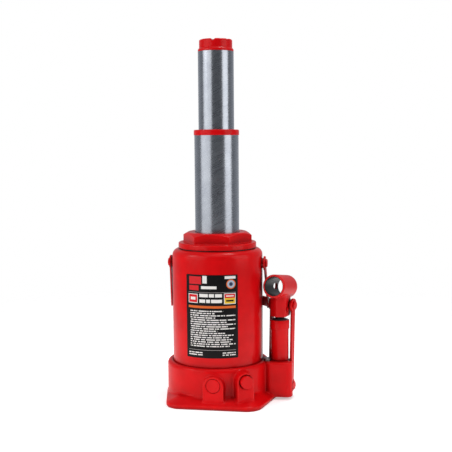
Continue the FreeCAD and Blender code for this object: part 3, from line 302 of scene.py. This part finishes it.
# Rows of small print: left, right, low and high of their field, and of the two fields at the foot.
ROWS_FIELD = (-28.0, 30.5, 14.0, 60.0)
FOOT_FIELDS = ((-30.6, -11.4, 2.4, 8.6), (13.9, 30.5, 2.4, 8.6))
ROW_PITCH = 2.75
ROW_MIDDLE = 0.44
ROW_HALF = 0.24
ROW_SHORTEST = 4.0
ROW_LONGEST = 38.5
ROW_SHIFT = 7.31
DASH_LENGTH = 2.4
DASH_LEVEL = 0.4
# A plain roundel: each disc's radius and ink, from the largest.
ROUNDEL_PLACE = (25.0, 92.6, 0.0)
ROUNDEL = ((6.0, PRINT_ORANGE), (4.8, PRINT_PALE_BLUE), (2.4, PRINT_BLUE))
VINYL_CLOUD = 4 * MM


def heading_blocks():
    """The blocks of the heading lines, set side by side."""
    blocks = []
    for low, lengths in HEADINGS:
        left = HEADING_LEFT
        for length in lengths:
            blocks.append((left, left + length, low, low + HEADING_TALL, PRINT_WHITE))
            left += length + HEADING_GAP
    return blocks


def block_mask(tree, across, up, left, right, low, high):
    """One inside this block of the print, and nought outside."""
    wide = add(tree, "Math", {0: across, 1: (left + right) / 2, 2: (right - left) / 2},
               operation="COMPARE")
    tall = add(tree, "Math", {0: up, 1: (low + high) / 2, 2: (high - low) / 2}, operation="COMPARE")
    return add(tree, "Math", {0: wide, 1: tall}, operation="MULTIPLY")


def dash_masks(tree, across, up):
    """Rows of small print as uneven dashes: full rows, and the same rows with ragged ends."""
    rows = add(tree, "Math", {0: up, 1: ROW_PITCH}, operation="DIVIDE")
    row = add(tree, "Math", {0: rows}, operation="FLOOR")
    height = add(tree, "Math", {0: rows}, operation="FRACT")
    line = add(tree, "Math", {0: height, 1: ROW_MIDDLE, 2: ROW_HALF}, operation="COMPARE")
    shift = add(tree, "Math", {0: row, 1: ROW_SHIFT}, operation="MULTIPLY")
    along = add(tree, "Math", {0: across, 1: 1 / DASH_LENGTH, 2: shift}, operation="MULTIPLY_ADD")
    level = add(tree, "TexNoise", {"W": along, "Scale": 1.0, "Detail": 1.0}, noise_dimensions="1D")
    dash = add(tree, "Math", {0: level, 1: DASH_LEVEL}, operation="GREATER_THAN")
    full = add(tree, "Math", {0: dash, 1: line}, operation="MULTIPLY")
    chance = add(tree, "TexWhiteNoise", {"W": row}, noise_dimensions="1D")
    end = add(tree, "MapRange", {"Value": chance, "To Min": ROW_SHORTEST, "To Max": ROW_LONGEST})
    short = add(tree, "Math", {0: across, 1: end}, operation="LESS_THAN")
    return full, add(tree, "Math", {0: full, 1: short}, operation="MULTIPLY")


def printed_label():
    """Black vinyl, screen printed: plain blocks and ragged rows of short dashes, and no letters."""
    material, tree, place = begin("printed_vinyl_label")
    across = add(tree, "SeparateXYZ", {0: add(tree, "UVMap", uv_map="print")})
    up = across.node.outputs[1]
    layers = []
    for *sides, ink in LABEL_BLOCKS + heading_blocks():
        layers.append((block_mask(tree, across, up, *sides), ink))
    full, ragged = dash_masks(tree, across, up)
    fields = [(ragged, ROWS_FIELD)] + [(full, field) for field in FOOT_FIELDS]
    for dashes, field in fields:
        inside = block_mask(tree, across, up, *field)
        layers.append((add(tree, "Math", {0: inside, 1: dashes}, operation="MULTIPLY"), PRINT_WHITE))
    spot = add(tree, "CombineXYZ", {0: across, 1: up})
    reach = add(tree, "VectorMath", {0: spot, 1: ROUNDEL_PLACE}, out="Value", operation="DISTANCE")
    for radius, ink in ROUNDEL:
        layers.append((add(tree, "Math", {0: reach, 1: radius}, operation="LESS_THAN"), ink))

    colour = linear(LABEL_BLACK)
    for mask, ink in layers:
        colour = add(tree, "Mix", {0: mask, 6: colour, 7: linear(ink)}, out=2, data_type="RGBA")
    film = add(tree, "TexNoise", {"Vector": place, "Scale": 1 / VINYL_CLOUD, "Detail": 2.0})
    rough = add(tree, "MapRange", {"Value": film, "To Min": 0.3, "To Max": 0.38})
    close(tree, {"Base Color": colour, "Roughness": rough, "Specular IOR Level": 0.15})
    return material


# ---------------------------------------------------------------- finishes on the CAD's own pieces

FINISHES = {
    "cast_red": cast_red_enamel(),
    "red_paint": gloss_red_enamel(),
    "ground_steel": ground_steel(),
    "bare_steel": turned_steel(),
    "blackened_steel": blackened_steel(),
    "black_rubber": nitrile_rubber(),
    "brass": soft_brass(),
    "label_film": printed_label(),
}
SLOTS = {part["node"]: part["material_slot"] for part in frame["record"]["subparts"]}

for node, slot in SLOTS.items():
    for holder in nodes[node].material_slots:
        holder.material = FINISHES[slot]
# The pump is sprayed in its place, so the copper washer under it is red too.
nodes["pump_cylinder_washer"].material_slots[0].material = FINISHES["red_paint"]


# ---------------------------------------------------------------- pieces shaped from the CAD's own solids

handle_bore = next(mount for mount in frame["record"]["mounts"] if mount["name"] == "handle_bore")
BORE_MIDDLE = Vector(handle_bore["pos_m"])
BORE_AXIS = Vector(handle_bore["axis"])
BORE_RADIUS = handle_bore["dims"]["r_mm"] * MM
# The bare steel runs on past the bore's wall, out to the edge that the enamel stops at.
BARE_RIM = 0.5 * MM

MERGE_DISTANCE = 0.002 * MM
FLAT_ENOUGH = math.radians(0.5)
SHARP_EDGE = math.radians(35)
CREASE = math.radians(30)

# Cast and forged: the node, the finished piece, its body, the facets of its skin, the smoothing passes.
CAST_PIECES = (
    ("base_casting", "cast_base", "jack_body", 1.1 * MM, 7),
    ("handle_socket", "cast_socket", "socket", 0.5 * MM, 6),
    ("top_nut", "forged_top_nut", "jack_body", 0.55 * MM, 2),
    ("saddle", "forged_saddle", "inner_ram", 0.45 * MM, 4),
)
# Turned and pressed: the node, the finished piece, its body, and the width its edges are broken to.
EDGED_PIECES = (
    ("outer_ram_collar", "turned_collar", "outer_ram", 0.7 * MM),
    ("carry_bail", "pressed_bail", "bail", 0.45 * MM),
    ("link_plates", "stamped_link_plates", "link", 0.5 * MM),
    ("pump_cylinder", "turned_pump_cylinder", "jack_body", 0.5 * MM),
)
OWN_FINISH = {"handle_socket": bored_red_casting(BORE_MIDDLE, BORE_AXIS, BORE_RADIUS + BARE_RIM)}


def work_on(piece):
    """Makes this piece the only one selected."""
    bpy.ops.object.select_all(action="DESELECT")
    piece.select_set(True)
    bpy.context.view_layer.objects.active = piece


def apply_all(piece):
    """Applies this piece's modifiers in their order."""
    for modifier in list(piece.modifiers):
        bpy.ops.object.modifier_apply(modifier=modifier.name)


def stand_in(node, name, body):
    """A copy of a node's shape, merged into one skin, to be finished and shown in its place."""
    piece = bpy.data.objects.new(name, nodes[node].data.copy())
    bpy.context.scene.collection.objects.link(piece)
    piece.data.materials.clear()
    piece.data.materials.append(OWN_FINISH.get(node, FINISHES[SLOTS[node]]))
    work_on(piece)
    bpy.ops.mesh.customdata_custom_splitnormals_clear()
    bpy.ops.object.mode_set(mode="EDIT")
    bpy.ops.mesh.select_all(action="SELECT")
    bpy.ops.mesh.remove_doubles(threshold=MERGE_DISTANCE)
    bpy.ops.object.mode_set(mode="OBJECT")
    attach(piece, body)
    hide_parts(node)
    return piece


def soften(piece, grain, passes):
    """Rounds every edge as a sand mould does: the skin is laid again in small facets, then smoothed."""
    skin = piece.modifiers.new("skin", "REMESH")
    skin.mode = "VOXEL"
    skin.voxel_size = grain
    skin.use_smooth_shade = True
    smooth = piece.modifiers.new("smooth", "SMOOTH")
    smooth.factor = 0.5
    smooth.iterations = passes
    apply_all(piece)
    bpy.ops.object.shade_smooth()


def break_edges(piece, width):
    """Takes the sharpness off machined and sheared edges, as deburring and paint do."""
    bpy.ops.object.mode_set(mode="EDIT")
    bpy.ops.mesh.select_all(action="SELECT")
    bpy.ops.mesh.dissolve_limited(angle_limit=FLAT_ENOUGH)
    bpy.ops.object.mode_set(mode="OBJECT")
    edge = piece.modifiers.new("edge", "BEVEL")
    edge.limit_method = "ANGLE"
    edge.angle_limit = SHARP_EDGE
    edge.width = width
    edge.segments = 3
    apply_all(piece)
    bpy.ops.object.shade_smooth_by_angle(angle=CREASE)


for node, name, body, grain, passes in CAST_PIECES:
    soften(stand_in(node, name, body), grain, passes)
for node, name, body, width in EDGED_PIECES:
    break_edges(stand_in(node, name, body), width)


# ---------------------------------------------------------------- label

LABEL_CORNER = 1.2 * MM
LABEL_COLUMNS = 44
LABEL_FILM = 0.2 * MM


def make_label():
    """A vinyl sheet cut flat, then wrapped round the tank. Its UV map holds millimetres."""
    low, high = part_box("label")
    radius = abs(low[1])
    middle = math.atan2((low[0] + high[0]) / 2, radius)
    height = (low[2] + high[2]) / 2
    bpy.ops.object.select_all(action="DESELECT")
    bpy.ops.mesh.primitive_plane_add(size=1.0, location=(0, 0, 0))
    sheet = bpy.context.object
    sheet.name = "label_print"
    sheet.data.transform(Matrix.Diagonal((LABEL_WIDTH * MM, LABEL_TALL * MM, 1.0, 1.0)))
    bpy.ops.object.mode_set(mode="EDIT")
    bpy.ops.mesh.select_all(action="SELECT")
    bpy.ops.mesh.bevel(offset=LABEL_CORNER, segments=4, affect="VERTICES")
    for step in range(1, LABEL_COLUMNS):
        bpy.ops.mesh.select_all(action="SELECT")
        across = (step / LABEL_COLUMNS - 0.5) * LABEL_WIDTH * MM
        bpy.ops.mesh.bisect(plane_co=(across, 0, 0), plane_no=(1, 0, 0))
    bpy.ops.object.mode_set(mode="OBJECT")
    chart = sheet.data.uv_layers.new(name="print")
    for corner in sheet.data.loops:
        spot = sheet.data.vertices[corner.vertex_index].co
        chart.data[corner.index].uv = (spot.x / MM, spot.y / MM + LABEL_TALL / 2)
    for point in sheet.data.vertices:
        angle = middle + point.co.x / radius
        point.co = Vector((math.sin(angle) * radius, -math.cos(angle) * radius, height + point.co.y))
    sheet.data.uv_layers.active = chart
    film = sheet.modifiers.new("film", "SOLIDIFY")
    film.thickness = LABEL_FILM
    film.offset = -1.0
    work_on(sheet)
    apply_all(sheet)
    bpy.ops.object.shade_smooth_by_angle(angle=CREASE)
    sheet.data.materials.append(FINISHES["label_film"])
    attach(sheet, "jack_body")
    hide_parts("label")


make_label()


# ---------------------------------------------------------------- studio

CAMERA_AZIMUTH = math.radians(10.5)
CAMERA_DISTANCE = 1.1529
CAMERA_HEIGHT = 0.3266
CAMERA_PITCH = 0.0924
CAMERA_PAN = 0.0098
CAMERA_ROLL = -0.0078
LENS = 71.7
SENSOR = 36.0

FLOOR_RADIUS = 0.9
FLOOR_FADE = 0.3
FLOOR_DROP = 0.2 * MM
FLOOR_GLOW = 0.42

ROOM_TINT = "F4F8FF"
ROOM_FRONT = 0.12
ROOM_BACK = 0.55
# The room brightens from front to back between these shares of the view's direction.
ROOM_FRONT_ENDS = -0.3
ROOM_BACK_STARTS = 0.9

# Softboxes: name, degrees round from the camera's side, distance, height, width, tallness, radiance,
# and the height each is aimed at.
SOFTBOXES = (
    ("left_softbox", -59, 1.3, 0.62, 1.5, 1.3, 1.5, 0.3),
    ("right_softbox", 62, 1.3, 0.62, 0.95, 1.3, 2.0, 0.3),
    ("top_softbox", 0, 0.5, 1.6, 1.3, 1.3, 1.0, 0.2),
    ("left_strip", -71, 1.1, 0.92, 0.35, 0.3, 9.0, 0.19),
    ("top_strip", 117, 0.29, 1.3, 0.5, 0.25, 9.0, 0.19),
)


def around(turn, distance, height):
    """A place round the jack; turn is measured from the camera's side, positive to its right."""
    angle = CAMERA_AZIMUTH + turn
    return Vector((math.sin(angle) * distance, -math.cos(angle) * distance, height))


def make_camera():
    """The camera, set by its place and three small turns."""
    camera = bpy.data.objects.new("camera", bpy.data.cameras.new("camera"))
    bpy.context.scene.collection.objects.link(camera)
    camera.data.lens = LENS
    camera.data.sensor_width = SENSOR
    turn = Matrix.Rotation(CAMERA_AZIMUTH - CAMERA_PAN, 4, "Z")
    tip = Matrix.Rotation(math.pi / 2 - CAMERA_PITCH, 4, "X")
    roll = Matrix.Rotation(CAMERA_ROLL, 4, "Z")
    place = Matrix.Translation(around(0, CAMERA_DISTANCE, CAMERA_HEIGHT))
    camera.matrix_world = place @ turn @ tip @ roll
    bpy.context.scene.camera = camera


def softbox(name, turn, distance, height, width, tall, radiance, aim):
    """An area light of this radiance, turned to the jack."""
    light = bpy.data.lights.new(name, "AREA")
    light.shape = "RECTANGLE"
    light.size = width
    light.size_y = tall
    light.energy = radiance * math.pi * width * tall
    box = bpy.data.objects.new(name, light)
    bpy.context.scene.collection.objects.link(box)
    box.location = around(math.radians(turn), distance, height)
    box.rotation_euler = (Vector((0, 0, aim)) - box.location).to_track_quat("-Z", "Y").to_euler()


def make_world():
    """White to the eye; to what reflects it, a room that is dark in front and pale behind."""
    world = bpy.data.worlds.new("studio")
    bpy.context.scene.world = world
    world.use_nodes = True
    tree = world.node_tree
    tree.nodes.clear()
    ahead = -around(0, 1.0, 0.0)
    facing = add(tree, "VectorMath", {0: add(tree, "TexCoord", out="Generated"), 1: ahead},
                 out="Value", operation="DOT_PRODUCT")
    glow = add(tree, "MapRange", {"Value": facing, "From Min": ROOM_FRONT_ENDS,
                                  "From Max": ROOM_BACK_STARTS,
                                  "To Min": ROOM_FRONT, "To Max": ROOM_BACK})
    room = add(tree, "Background", {"Color": linear(ROOM_TINT), "Strength": glow})
    backdrop = add(tree, "Background", {"Color": linear("FFFFFF"), "Strength": 1.0})
    seen = add(tree, "LightPath", out="Is Camera Ray")
    add(tree, "OutputWorld", {"Surface": add(tree, "MixShader", {0: seen, 1: room, 2: backdrop})})


def make_floor():
    """A pale round floor of matt paper that fades into the white backdrop."""
    bpy.ops.object.select_all(action="DESELECT")
    bpy.ops.mesh.primitive_circle_add(vertices=96, radius=FLOOR_RADIUS, fill_type="NGON",
                                      location=(0, 0, -FLOOR_DROP))
    floor = bpy.context.object
    floor.name = "floor"
    material, tree, place = begin("matt_white_paper")
    reach = add(tree, "VectorMath", {0: place}, out="Value", operation="LENGTH")
    fade = add(tree, "MapRange", {"Value": reach, "From Min": FLOOR_FADE, "From Max": FLOOR_RADIUS},
               interpolation_type="SMOOTHSTEP")
    paper = add(tree, "BsdfPrincipled", {"Base Color": linear("FFFFFF"), "Roughness": 0.9,
                                         "Specular IOR Level": 0.0,
                                         "Emission Color": linear("FFFFFF"),
                                         "Emission Strength": FLOOR_GLOW})
    clear = add(tree, "BsdfTransparent")
    add(tree, "OutputMaterial", {"Surface": add(tree, "MixShader", {0: fade, 1: paper, 2: clear})})
    floor.data.materials.append(material)


make_camera()
make_world()
make_floor()
for box in SOFTBOXES:
    softbox(*box)
bpy.context.scene.view_settings.view_transform = "Standard"
